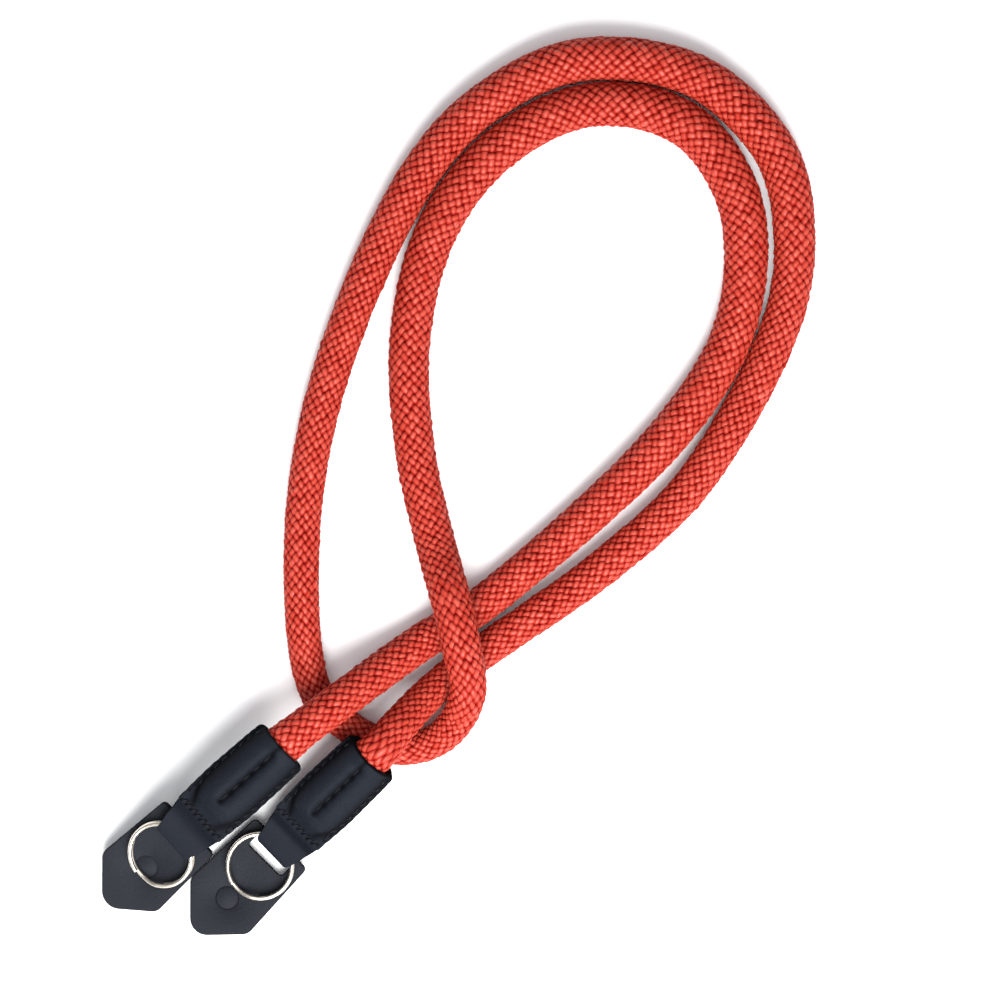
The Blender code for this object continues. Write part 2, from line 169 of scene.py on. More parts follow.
def middle(end, distance):
    """Point and slope of an end's middle plane at a distance along the leather from its fold."""
    if distance <= OPEN_LENGTH:
        return distance, 0.0, 0.0
    bent = min(distance - OPEN_LENGTH, NECK_BEND_LENGTH)
    straight = distance - OPEN_LENGTH - bent
    angle = math.radians(end["sleeve_tilt"] - end["neck_tilt"]) * bent / NECK_BEND_LENGTH
    x = OPEN_LENGTH + bent * math.cos(angle / 2) + straight * math.cos(angle)
    z = bent * math.sin(angle / 2) + straight * math.sin(angle)
    return x, z, angle


def beyond_mouth(end, distance):
    """Point on an end's middle line, at a distance beyond its mouth."""
    x, z = middle(end, SLEEVE_LENGTH + distance)[:2]
    return placed(end_frame(end), np.array((x, 0.0, z)))


# The rope's way from mouth to mouth: x and y in metres, how far it is lifted over another strand
# (0 on the table, 1 on a strand), and its thickness as a share
ROUTE = (
    (0.0207, 0.0302, 0.92, 0.94),
    (0.0441, 0.0470, 0.03, 0.93),
    (0.0567, 0.0547, 0.0, 0.9),
    (0.1063, 0.0997, 0.0, 1.04),
    (0.1221, 0.1268, 0.0, 1.06),
    (0.1227, 0.1568, 0.0, 1.14),
    (0.1090, 0.1760, 0.0, 1.14),
    (0.0855, 0.1807, 0.0, 1.1),
    (0.0624, 0.1695, 0.0, 1.07),
    (0.0469, 0.1489, 0.0, 1.05),
    (0.0404, 0.1220, 0.0, 1.02),
    (0.0417, 0.0943, 0.0, 0.99),
    (0.0467, 0.0715, 0.22, 1.0),
    (0.0507, 0.0570, 0.87, 1.0),
    (0.0534, 0.0450, 1.0, 0.98),
    (0.0549, 0.0348, 0.8, 0.92),
    (0.0518, 0.0265, 0.27, 0.86),
    (0.0457, 0.0213, 0.03, 0.82),
    (0.0369, 0.0198, 0.0, 0.8),
    (0.0259, 0.0247, 0.0, 0.8),
    (0.0169, 0.0340, 0.0, 0.82),
    (0.0133, 0.0695, 0.0, 0.89),
    (0.0197, 0.1105, 0.0, 0.93),
    (0.0420, 0.1622, 0.0, 1.0),
    (0.0599, 0.1816, 0.0, 1.04),
    (0.0829, 0.1919, 0.0, 1.09),
    (0.1121, 0.1878, 0.0, 1.1),
    (0.1313, 0.1698, 0.0, 1.1),
    (0.1364, 0.1506, 0.0, 1.05),
    (0.1337, 0.1274, 0.0, 0.98),
    (0.1118, 0.0869, 0.0, 0.94),
    (0.0889, 0.0654, 0.0, 0.91),
    (0.0625, 0.0467, 0.0, 0.86),
    (0.0503, 0.0380, 0.02, 0.84),
    (0.0429, 0.0314, 0.4, 0.86),
    (0.0369, 0.0248, 0.84, 0.92),
)

# How the rope flattens in a mouth: distance inside it in mm, half width and half height as shares
TIP_SHAPE = (
    (-5.0, 1.0, 1.0),
    (0.0, 1.08, 0.93),
    (3.1, 1.12, 0.81),
    (8.5, 1.14, 0.76),
    (17.6, 1.14, 0.74),
    (20.7, 1.08, 0.67),
    (23.0, 0.97, 0.56),
    (24.4, 0.75, 0.42),
    (25.2, 0.45, 0.25),
)


def smooth_line(points, step, fineness=80):
    """Rows of an even smooth curve through the points, whose first and last give only direction."""
    knots = [0.0]
    for one, two in zip(points, points[1:]):
        knots.append(knots[-1] + math.sqrt(np.linalg.norm(two[:3] - one[:3])))
    rows = []
    for k in range(1, len(points) - 2):
        p0, p1, p2, p3 = points[k - 1:k + 3]
        t0, t1, t2, t3 = knots[k - 1:k + 3]
        t = np.linspace(t1, t2, fineness, endpoint=False)[:, None]
        a1 = p0 + (p1 - p0) * (t - t0) / (t1 - t0)
        a2 = p1 + (p2 - p1) * (t - t1) / (t2 - t1)
        a3 = p2 + (p3 - p2) * (t - t2) / (t3 - t2)
        b1 = a1 + (a2 - a1) * (t - t0) / (t2 - t0)
        b2 = a2 + (a3 - a2) * (t - t1) / (t3 - t1)
        rows.append(b1 + (b2 - b1) * (t - t1) / (t2 - t1))
    rows.append(points[-2:-1])
    line = np.vstack(rows)
    lengths = np.linalg.norm(np.diff(line[:, :3], axis=0), axis=1)
    run = np.concatenate(((0.0,), np.cumsum(lengths)))
    even = np.linspace(0.0, run[-1], round(run[-1] / step) + 1)
    return even, np.column_stack([np.interp(even, run, column) for column in line.T])


def mouth_lead(end):
    """Rows of the rope's line from the bottom of an end's room to just beyond its mouth."""
    distances = (-ROPE_TIP - 6 * MM, -ROPE_TIP, -ROPE_TIP / 2, 0.3 * MM, 3 * MM)
    return [np.array((*beyond_mouth(end, d), RADIUS_AT_MOUTH)) for d in distances]


route = []
for x, y, level, width in ROUTE:
    radius = width * ROPE_RADIUS
    route.append(np.array((x, y, radius + level * ROPE_LIFT, radius)))
rope_points = mouth_lead(ENDS["left"]) + route + mouth_lead(ENDS["right"])[::-1]
rope_run, rope_line = smooth_line(np.array(rope_points), LINE_STEP)
rope_line[:, 2] = np.maximum(rope_line[:, 2], rope_line[:, 3])
rope_length = rope_run[-1]


def unit(vectors):
    return vectors / np.linalg.norm(vectors, axis=-1, keepdims=True)


def steady_sides(line):
    """Side vectors that turn along the line as little as they can."""
    tangents = unit(np.gradient(line, axis=0))
    sides = [unit(np.cross(tangents[0], (0.0, 0.0, 1.0)))]
    for tangent in tangents[1:]:
        side = sides[-1] - tangent * (sides[-1] @ tangent)
        sides.append(unit(side))
    return np.array(sides), np.cross(tangents, np.array(sides))


rope_side, rope_up = steady_sides(rope_line[:, :3])


def follow(values, along):
    """Values of a table along the rope, at any distances along it."""
    if values.ndim == 1:
        return np.interp(along, rope_run, values)
    return np.stack([np.interp(along, rope_run, column) for column in values.T], axis=-1)


def on_rope(along, turn, depth):
    """Points of the rope: distance along it, angle round it, depth under its crown."""
    radius = follow(rope_line[:, 3], along) - depth
    across = np.cos(turn)[..., None] * follow(rope_side, along)
    arm = across + np.sin(turn)[..., None] * follow(rope_up, along)
    arm = arm * radius[..., None]
    inside, wide, high = np.array(TIP_SHAPE).T
    tips = (
        (ENDS["left"], ROPE_TIP - along),
        (ENDS["right"], along - rope_length + ROPE_TIP),
    )
    for end, depth_in in tips:
        matrix = end_frame(end)
        slope = middle(end, SLEEVE_LENGTH)[2]
        sideways = matrix[:3, 1]
        upright = matrix[:3, :3] @ np.array((-math.sin(slope), 0.0, math.cos(slope)))
        stretch = np.interp(depth_in / MM, inside, wide) - 1.0
        press = np.interp(depth_in / MM, inside, high) - 1.0
        arm = (
            arm
            + (stretch * (arm @ sideways))[..., None] * sideways
            + (press * (arm @ upright))[..., None] * upright
        )
    return follow(rope_line[:, :3], along) + arm


def grid_faces(rows, columns, closed=False):
    """Faces of a grid of points, row by row; a closed grid joins its last column to its first."""
    across = columns if closed else columns - 1
    i, j = np.meshgrid(np.arange(rows - 1), np.arange(across), indexing="ij")
    after = (j + 1) % columns
    faces = (i * columns + j, i * columns + after, (i + 1) * columns + after, (i + 1) * columns + j)
    return np.stack(faces, axis=-1).reshape(-1, 4)


def new_piece(name, points, faces, finish, stands_for=None):
    """A smooth mesh that rides with the strap, wears a finish and may stand for a solid."""
    mesh = bpy.data.meshes.new(name)
    mesh.from_pydata(np.asarray(points).reshape(-1, 3).tolist(), [], [list(face) for face in faces])
    mesh.materials.append(finish.material)
    mesh.shade_smooth()
    piece = bpy.data.objects.new(name, mesh)
    bpy.context.scene.collection.objects.link(piece)
    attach(piece, "root")
    if stands_for:
        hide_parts(stands_for)
    return piece


def add_values(piece, name, values):
    """A number for each point of a piece, for its finish to use."""
    layer = piece.data.attributes.new(name, "FLOAT", "POINT")
    layer.data.foreach_set("value", np.asarray(values, dtype=np.float32).ravel())


class Signal:
    """One output socket. Sums, differences and products with it add Math nodes."""

    def __init__(self, nodes, socket):
        self.nodes = nodes
        self.socket = socket

    def maths(self, operation, first, second):
        return self.nodes.node("ShaderNodeMath", {"operation": operation}, {0: first, 1: second})

    def __add__(self, other):
        return self.maths("ADD", self, other)

    def __radd__(self, other):
        return self.maths("ADD", other, self)

    def __sub__(self, other):
        return self.maths("SUBTRACT", self, other)

    def __rsub__(self, other):
        return self.maths("SUBTRACT", other, self)

    def __mul__(self, other):
        return self.maths("MULTIPLY", self, other)

    def __rmul__(self, other):
        return self.maths("MULTIPLY", other, self)


class Nodes:
    """The shader nodes of a material or of the room, added one by one."""

    def __init__(self, tree):
        self.tree = tree

    def node(self, kind, settings=(), values=(), output=0):
        """Output of a new node, made from its settings and the values or links of its sockets."""
        made = self.tree.nodes.new(kind)
        for name, value in dict(settings).items():
            if name == "stops":
                stops = made.color_ramp.elements
                for k, (position, colour) in enumerate(value):
                    stop = stops[k] if k < 2 else stops.new(position)
                    stop.position = position
                    stop.color = (*colour, 1.0)
            else:
                setattr(made, name, value)
        for socket, value in dict(values).items():
            self.feed(made.inputs[socket], value)
        return Signal(self, made.outputs[output])

    def feed(self, socket, value):
        if isinstance(value, Signal):
            self.tree.links.new(value.socket, socket)
        else:
            socket.default_value = value


class Finish(Nodes):
    """A material with one surface shader."""

    def __init__(self, name, **fixed):
        self.material = bpy.data.materials.new(name)
        self.material.use_nodes = True
        super().__init__(self.material.node_tree)
        self.shader = self.tree.nodes["Principled BSDF"]
        self.surface(**fixed)

    def surface(self, **values):
        for name, value in values.items():
            self.feed(self.shader.inputs[name.replace("_", " ")], value)

    def values_of(self, name):
        """The numbers that a piece's points hold under a name."""
        return self.node("ShaderNodeAttribute", {"attribute_name": name}, output="Fac")

    def place(self):
        return self.node("ShaderNodeTexCoord", output="Object")

    def stretched(self, place, shares):
        """A place times a share along each axis; a share below 1 draws a pattern out that way."""
        return self.node("ShaderNodeVectorMath", {"operation": "MULTIPLY"}, {0: place, 1: shares})

    def cloud(self, size, place=None, detail=2.0):
        """Soft noise between 0 and 1, with blotches of a given size in metres."""
        values = {"Vector": place or self.place(), "Scale": 1.0 / size, "Detail": detail}
        return self.node("ShaderNodeTexNoise", {}, values)

    def between(self, share, first, second):
        """Colour between two colours or signals: sockets 6 and 7 of a Mix node, its output 2."""
        values = {0: share}
        for socket, colour in ((6, first), (7, second)):
            values[socket] = colour if isinstance(colour, Signal) else (*colour, 1.0)
        return self.node("ShaderNodeMix", {"data_type": "RGBA"}, values, output=2)

    def relief(self, height, depth, under=None):
        """A bump of a given depth in metres, laid over another."""
        values = {"Height": height, "Distance": depth, "Strength": 1.0}
        if under:
            values["Normal"] = under
        return self.node("ShaderNodeBump", {}, values)


# The core shows only in the gaps between the floats. Its red is darker than the yarn's, as painted
# shade for those gaps.
core_finish = Finish("dark red rope core", Roughness=0.9)
core_blotches = core_finish.cloud(2 * MM)
core_red_painted_gap_shade = core_finish.between(core_blotches, (0.10, 0.004, 0.003), (0.15, 0.006, 0.004))
core_finish.surface(Base_Color=core_red_painted_gap_shade)

core_rows = np.linspace(0.0, rope_length, round(rope_length / CORE_STEP) + 1)
core_turns = np.linspace(0.0, 2 * math.pi, CORE_SIDES, endpoint=False)
core_along, core_turn = np.meshgrid(core_rows, core_turns, indexing="ij")
core_inside = ROPE_TIP - np.minimum(core_along, rope_length - core_along)
# In a mouth it gets thinner from a fifth to two fifths of the way in
core_depth = CORE_DEPTH + TIP_SQUEEZE * np.clip(5 * core_inside / ROPE_TIP - 1, 0.0, 1.0)
core_points = on_rope(core_along, core_turn, core_depth)
core_faces = grid_faces(len(core_rows), CORE_SIDES, closed=True).tolist()
core_faces.append(list(range(CORE_SIDES))[::-1])
core_faces.append([(len(core_rows) - 1) * CORE_SIDES + k for k in range(CORE_SIDES)])
rope_core = new_piece("rope_core", core_points, core_faces, core_finish, "rope")

braid_finish = Finish(
    "red polyester braid", Specular_IOR_Level=0.0, Coat_Roughness=0.4, Coat_IOR=1.6
)
float_shade = braid_finish.values_of("shade")
float_crest = braid_finish.values_of("crest")
# The yarn's red is given as a shaded and a lit copy, mixed by how near a point lies to its float's
# crown: painted shade towards the edges and ends where the floats dive into the gaps, painted light
# on the crowns. The share per float is a random tone.
gap_red_painted_shade = braid_finish.between(float_shade, (0.135, 0.002, 0.001), (0.235, 0.004, 0.003))
crest_red_painted_light = braid_finish.between(float_shade, (0.36, 0.029, 0.018), (0.53, 0.078, 0.047))
braid_red_with_painted_shade = braid_finish.between(float_crest * float_crest, gap_red_painted_shade, crest_red_painted_light)
yarn = braid_finish.node("ShaderNodeUVMap", {"uv_map": "yarn"})
fibres = braid_finish.cloud(0.11 * MM, braid_finish.stretched(yarn, (0.12, 1.0, 1.0)))
braid_finish.surface(
    Base_Color=braid_red_with_painted_shade,
    Roughness=0.5 + 0.25 * fibres,
    Coat_Weight=float_crest * float_crest * float_shade * 0.7,
    Normal=braid_finish.relief(fibres, 0.07 * MM),
)


def braid(name, lay, seed):
    """All floats of the strands of one lay: small crowned patches whose ends dive under others."""
    chance = np.random.default_rng(seed)
    first = ROPE_TIP - BRAID_PAST_MOUTH
    count = int((rope_length - 2 * first) / FLOAT_PITCH)
    row, step = np.meshgrid(np.arange(FLOAT_ROWS), np.arange(count), indexing="ij")
    shifted = 0.5 if lay < 0 else 0.0
    total = row.size
    start = first + (step.ravel() + 0.25 + shifted) * FLOAT_PITCH
    start = start + chance.normal(0, PLACE_SPREAD, total)
    turn = 2 * math.pi * (row.ravel() + shifted) / FLOAT_ROWS
    turn = turn + chance.normal(0, TURN_SPREAD, total)
    slope = np.radians(FLOAT_SLOPE + chance.normal(0, SLOPE_SPREAD, total))
    size = 1 + chance.normal(0, SIZE_SPREAD, total)
    sunk = chance.normal(FLOAT_SUNK, HEIGHT_SPREAD, total)
    t, w = (share.ravel() for share in np.meshgrid(ALONG_FLOAT, ACROSS_FLOAT, indexing="ij"))
    length = FLOAT_HALF_LENGTH * t
    width = FLOAT_HALF_WIDTH * w * (1 - FLOAT_TAPER * np.abs(t) ** 3)
    arc = 1 - np.sqrt(1 - (FLOAT_ARC * w) ** 2)
    down = FLOAT_ROUNDING * arc / arc.max() + FLOAT_DIVE * np.abs(t) ** DIVE_POWER
    cos = np.cos(slope)[:, None]
    sin = lay * np.sin(slope)[:, None]
    length = length * size[:, None]
    width = width * size[:, None]
    along = start[:, None] + length * cos - width * sin
    angle = turn[:, None] + (length * sin + width * cos) / ROPE_RADIUS
    points = on_rope(along, angle, down + sunk[:, None] - FLOAT_CROWN)
    points[..., 2] = np.maximum(points[..., 2], OVER_TABLE)
    patch = grid_faces(len(ALONG_FLOAT), len(ACROSS_FLOAT))
    faces = (patch[None] + FLOAT_POINTS * np.arange(total)[:, None, None]).reshape(-1, 4)
    piece = new_piece(name, points, faces.tolist(), braid_finish)
    shade = np.clip(chance.normal(0.5, SHADE_SPREAD, total), 0, 1)
    add_values(piece, "shade", np.repeat(shade, FLOAT_POINTS))
    # Crest: 1 on a float's crown, falling to 0 at its edges and ends; the finish paints shade with
    # it and sets its coat.
    crest = np.clip(1.05 - down / CREST_DEPTH, 0, 1)
    add_values(piece, "crest", np.tile(crest, total))
    layer = piece.data.uv_layers.new(name="yarn")
    offset = chance.uniform(0, 1, (total, 1))
    yarn_uv = np.stack((length + offset, width + offset), axis=-1).reshape(-1, 2)
    layer.data.foreach_set("uv", yarn_uv[faces.ravel()].astype(np.float32).ravel())
    return piece


rope_floats = [braid("rope_braid_one_way", 1, 11), braid("rope_braid_other_way", -1, 12)]
beyond_mouth(ENDS["left"], 0.0)
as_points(rope_line[::2, :3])

# The sleeves. Each is one strip of 1 mm black leather, folded over into a loop and sewn to itself:
# along both long edges beside the rope, across below its tip, and through the rope down the middle.
FOLD_HALF_WIDTH = 5.2 * MM
SLEEVE_HALF_WIDTH = 8.1 * MM
NECK_WIDENING = 0.75
LOOP_HALF = 2.35 * MM
FOLD_LENGTH = 2.3 * MM
FOLD_ROUNDNESS = 2.6
FOLD_CORNER = 1.1 * MM
FOLD_ROWS = 23
CUT_ROUNDING = 0.22 * MM
CUT_BEVEL = 0.3 * CUT_ROUNDING
STRIP_STEP = 0.33 * MM
HALF_COLUMNS = 30
SECTION_SAMPLES = 240
LEATHER_SOFTNESS = 0.28 * MM
THINNEST_LEATHER = 0.02 * MM
MOUTH_REACH = 7 * MM
MOUTH_RECESS = 0.2 * MM
MOUTH_CORNER = 1.5 * MM
MOUTH_BEVEL = 0.12 * MM

# The swollen leather over the rope: powers of its rounding, its ripples in radians a metre along
# and across, the stitched groove down its middle and how much of the height a dent can take
BULGE_POWERS = (2.3, 0.58)
RIPPLE_HEIGHT = 0.025 * MM
RIPPLES = ((2100, 900), (-700, 1300))
GROOVE_WIDTH = 0.65 * MM
GROOVE_DEPTH = 0.65 * MM
GROOVE_PAST_HOLE = 1.2 * MM
GROOVE_RUN_OUT = 2.4 * MM
DENT_WIDTH = 1.75 * MM
DENT_DEPTH = 0.85 * MM
DEEPEST_DENT = 0.75

# Painted shade: along both creases beside the rope, in the groove and in the needle holes
CREASE_WIDTH = 1.2 * MM
CREASE_SHADE = 0.7
SHADE_RUN_OUT = 2 * MM
NEEDLE_RADIUS = 0.42 * MM

# The seams: six holes in the groove, a row of stitches along each edge, a zigzag across the neck.
# A stitch is given by its two ends, ahead of its place and to the side; a thread by its radius and
# how far it stands up.
FIRST_HOLE = 2.9 * MM
HOLE_PITCH = 3.5 * MM
HOLES = 6
HOLE_DEPTH = 0.6 * MM
HOLE_RADIUS = 0.7 * MM
HOLE_PLACES = SLEEVE_LENGTH - FIRST_HOLE - HOLE_PITCH * np.arange(HOLES)
GROOVE_STITCH_INSET = 0.45 * MM
GROOVE_THREAD = (0.22 * MM, 0.05 * MM)
FIRST_EDGE_STITCH = 1.9 * MM
LAST_EDGE_STITCH = 2.2 * MM
EDGE_STITCH_PITCH = 2.7 * MM
EDGE_STITCH_INSET = 0.72 * MM
EDGE_STITCH = ((0.95 * MM, 0.12 * MM), (-0.95 * MM, -0.14 * MM))
EDGE_THREAD = (0.21 * MM, 0.13 * MM)
EDGE_WAVE = 0.05 * MM
CROSS_STITCHES = 8
CROSS_SEAM_HALF = 5.9 * MM
CROSS_STITCH = ((1.1 * MM, -0.55 * MM), (0.1 * MM, 0.75 * MM))
CROSS_THREAD = (0.22 * MM, 0.14 * MM)
STITCH_ROWS = 9
THREAD_TAPER = 0.55
THREAD_DIVE = 1.3
ASKEW = (0.31, 0.17, 0.93)

# The sleeve from its mouth inwards, all in mm: distance from the mouth, half width of the strip,
# half width and height of the bulge
SLEEVE_SHAPE = (
    (0.0, 7.75, 6.6, 4.7),
    (3.0, 7.85, 6.8, 4.35),
    (8.6, 7.95, 6.95, 4.15),
    (16.6, 8.1, 6.95, 4.0),
    (19.4, 8.0, 6.8, 3.85),
    (21.6, 7.9, 6.4, 3.3),
    (23.4, 7.8, 5.7, 2.3),
    (24.9, 7.7, 4.8, 1.1),
    (26.6, 7.6, 4.0, 0.0),
)

# Distance from the fold in mm, and how far the leather there has lost its shine and is worn grey.
# Its fall towards the fold and the cross seam is painted shade, darker there.
NECK_TONES = (
    (0.0, 0.15),
    (1.5, 0.3),
    (3.0, 0.7),
    (4.5, 1.0),
    (6.3, 0.9),
    (7.6, 0.4),
    (9.0, 0.0),
)


def eased(share):
    """Share from 0 to 1 with a soft start and stop."""
    share = np.clip(share, 0.0, 1.0)
    return share * share * (3 - 2 * share)


def bulge_heights(distance, across, bulge_half, rise):
    """Height of the leather over the sewn layer, with the stitched groove down its middle."""
    share = np.clip(np.abs(across) / bulge_half, 0.0, 1.0)
    height = rise * (1 - share ** BULGE_POWERS[0]) ** BULGE_POWERS[1]
    start = SLEEVE_LENGTH - FIRST_HOLE + GROOVE_PAST_HOLE
    stop = HOLE_PLACES[-1] - GROOVE_PAST_HOLE
    pressed = eased((start - distance) / GROOVE_RUN_OUT) * eased((distance - stop) / GROOVE_RUN_OUT)
    groove = GROOVE_DEPTH * pressed * np.exp(-((across / GROOVE_WIDTH) ** 2))
    dent = DENT_DEPTH * pressed * np.exp(-((across / DENT_WIDTH) ** 2))
    for hole in HOLE_PLACES:
        away = ((distance - hole) ** 2 + across ** 2) / HOLE_RADIUS ** 2
        groove = groove + HOLE_DEPTH * np.exp(-away)
    waves = [np.sin(distance * ahead + across * aside) for ahead, aside in RIPPLES]
    height = height - np.minimum(groove + dent, DEEPEST_DENT * height)
    return np.maximum(height + RIPPLE_HEIGHT * waves[0] * waves[1] * share, 0.0)


def leather_section(distance):
    """Half of a section, from its middle to its edge: places across and heights, out and inside."""
    inside = (SLEEVE_LENGTH - distance) / MM
    table = np.array(SLEEVE_SHAPE).T
    if distance > NECK_LENGTH:
        half = np.interp(inside, table[0], table[1]) * MM
    else:
        widening = (SLEEVE_HALF_WIDTH - FOLD_HALF_WIDTH) * NECK_WIDENING
        turned = np.clip(1 - (distance - LEATHER / 2) / FOLD_CORNER, 0.0, 1.0)
        corner = FOLD_CORNER * (1 - math.sqrt(1 - turned ** 2))
        half = FOLD_HALF_WIDTH + widening * distance / NECK_LENGTH - corner
    wave = math.cos(2 * math.pi * distance / EDGE_STITCH_PITCH)
    half = half + EDGE_WAVE * wave * float(eased((distance - NECK_LENGTH) / MM))
    flat = half - CUT_ROUNDING
    across = np.linspace(0.0, flat, SECTION_SAMPLES)
    bulge_half = np.interp(inside, table[0], table[2]) * MM
    rise = np.interp(inside, table[0], table[3]) * MM
    height = bulge_heights(distance, across, bulge_half, rise)
    spread = max(1, round(LEATHER_SOFTNESS / (across[1] - across[0])))
    offsets = np.arange(-3 * spread, 3 * spread + 1)
    weights = np.exp(-0.5 * (offsets / spread) ** 2)
    mirrored = np.concatenate((height[3 * spread:0:-1], height, np.full(3 * spread, height[-1])))
    height = np.convolve(mirrored, weights / weights.sum(), mode="valid")
    run = np.concatenate(((0.0,), np.cumsum(np.hypot(np.diff(across), np.diff(height)))))
    even = np.linspace(0.0, run[-1], HALF_COLUMNS)
    y = np.interp(even, run, across)
    h = np.interp(even, run, height)
    slope = np.gradient(h, y)
    tilt = np.sqrt(1 + slope ** 2)
    inner_y = np.clip(y + LEATHER * slope / tilt, 0.0, flat)
    inner_h = np.maximum(h - LEATHER / tilt + LEATHER, THINNEST_LEATHER) - LEATHER
    return half, y, h, inner_y, inner_h


def strip_rows(end):
    """Rows of the strip, from its upper mouth round the fold to its lower mouth: distance from the
    fold, middle of the leather and its outward direction, both in the end's upright plane."""
    count = round((SLEEVE_LENGTH - FOLD_LENGTH) / STRIP_STEP)
    rows = []
    for distance in np.linspace(SLEEVE_LENGTH, FOLD_LENGTH, count + 1):
        x, z, angle = middle(end, distance)
        opening = 1 - float(eased((distance - OPEN_LENGTH) / CLOSING_LENGTH))
        lift = LEATHER / 2 + opening * LOOP_HALF
        rows.append((distance, x, z, angle, lift))
    upper = [(d, x - lift * math.sin(a), z + lift * math.cos(a)) for d, x, z, a, lift in rows]
    lower = [(d, x + lift * math.sin(a), z - lift * math.cos(a)) for d, x, z, a, lift in rows][::-1]
    fold = []
    for turn in np.radians(np.linspace(90, -90, FOLD_ROWS)[1:-1]):
        reach = abs(math.cos(turn)) ** (2 / FOLD_ROUNDNESS)
        rise = math.copysign(abs(math.sin(turn)) ** (2 / FOLD_ROUNDNESS), turn)
        x = FOLD_LENGTH - (FOLD_LENGTH - LEATHER / 2) * reach
        fold.append((x, x, (LOOP_HALF + LEATHER / 2) * rise))
    line = np.array(upper + fold + lower)
    forward = unit(np.gradient(line[:, 1:], axis=0))
    outward = np.column_stack((forward[:, 1], -forward[:, 0]))
    return line[:, 0], line[:, 1:], outward


def sleeve_grid(end):
    """Points of the whole strip: a closed section in each row, with rounded edges and mouths."""
    distances, line, outward = strip_rows(end)
    last = len(distances) - 1
    rows = []
    for k, distance in enumerate(distances):
        half, y, h, inner_y, inner_h = leather_section(distance)
        if distance < NECK_LENGTH:
            inner_y = y
            inner_h = np.zeros_like(y)
        edge_y = (half - CUT_BEVEL, half, half - CUT_BEVEL)
        edge_h = (0.5 * LEATHER - CUT_BEVEL, 0.0, -0.5 * LEATHER + CUT_BEVEL)
        across = np.concatenate((y, edge_y, inner_y[::-1]))
        height = np.concatenate((h + LEATHER / 2, edge_h, inner_h[::-1] - LEATHER / 2))
        if k in (0, last):
            middle_y = (np.concatenate((y, edge_y, y[::-1])) + across) / 2
            inwards = np.sign(height - np.concatenate((h, np.zeros(3), h[::-1])))
            height = height - CUT_ROUNDING * inwards
            across = (across + middle_y) / 2
        across = np.concatenate((across, -across[-2:0:-1]))
        height = np.concatenate((height, height[-2:0:-1]))
        near_mouth = float(eased((distance - SLEEVE_LENGTH + MOUTH_REACH) / MOUTH_REACH))
        beyond = np.maximum(np.abs(across) - (half - MOUTH_CORNER), 0.0)
        corner = MOUTH_CORNER - np.sqrt(np.maximum(MOUTH_CORNER ** 2 - beyond ** 2, 0.0))
        recess = MOUTH_RECESS * (1 - (across / half) ** 2)
        back = near_mouth * (recess + corner)
        if k in (0, last):
            back = back - MOUTH_BEVEL
        x = line[k, 0] + outward[k, 0] * height
        z = line[k, 1] + outward[k, 1] * height
        slope = middle(end, distance)[2]
        x = x - back * math.cos(slope)
        z = z - back * math.sin(slope)
        rows.append(np.column_stack((x, across, z)))
    return distances, np.array(rows)


def cross_stitches():
    """The two holes of each stitch across the neck: distance from the fold and place across."""
    for across in np.linspace(-CROSS_SEAM_HALF, CROSS_SEAM_HALF, CROSS_STITCHES):
        yield [(NECK_LENGTH + ahead, across + aside) for ahead, aside in CROSS_STITCH]


def edge_stitches():
    """The two holes of each stitch along both edges: distance from the fold and place across."""
    inside, width = np.array(SLEEVE_SHAPE).T[:2]
    place = SLEEVE_LENGTH - FIRST_EDGE_STITCH
    while place > NECK_LENGTH + LAST_EDGE_STITCH:
        edge = np.interp((SLEEVE_LENGTH - place) / MM, inside, width) * MM - EDGE_STITCH_INSET
        for side in (-1, 1):
            yield [(place + ahead, side * (edge + aside)) for ahead, aside in EDGE_STITCH]
        place -= EDGE_STITCH_PITCH


def shaded(distances, across):
    """Painted shade of a strip's points: 1 in a needle hole, less in the groove and the creases."""
    table = np.array(SLEEVE_SHAPE).T
    crease = np.interp((SLEEVE_LENGTH - distances) / MM, table[0], table[2]) * MM
    beside = np.exp(-(((np.abs(across) - crease[:, None]) / CREASE_WIDTH) ** 2))
    sewn = eased((distances - NECK_LENGTH) / SHADE_RUN_OUT)[:, None]
    stitched = eased((distances - HOLE_PLACES[-1] + MM) / SHADE_RUN_OUT)[:, None]
    groove = np.exp(-((across / GROOVE_WIDTH) ** 2)) * stitched
    marks = CREASE_SHADE * sewn * np.maximum(beside, groove)
    holes = [(hole, 0.0) for hole in HOLE_PLACES]
    for start, stop in (*edge_stitches(), *cross_stitches()):
        holes += [start, stop]
    for place, aside in holes:
        away = ((distances[:, None] - place) ** 2 + (across - aside) ** 2) / NEEDLE_RADIUS ** 2
        marks = np.maximum(marks, np.exp(-away))
    return marks


WORN_GREY = (0.0112, 0.0124, 0.0164)
HOLE_PAINTED_SHADE = (0.0006, 0.0007, 0.0009)


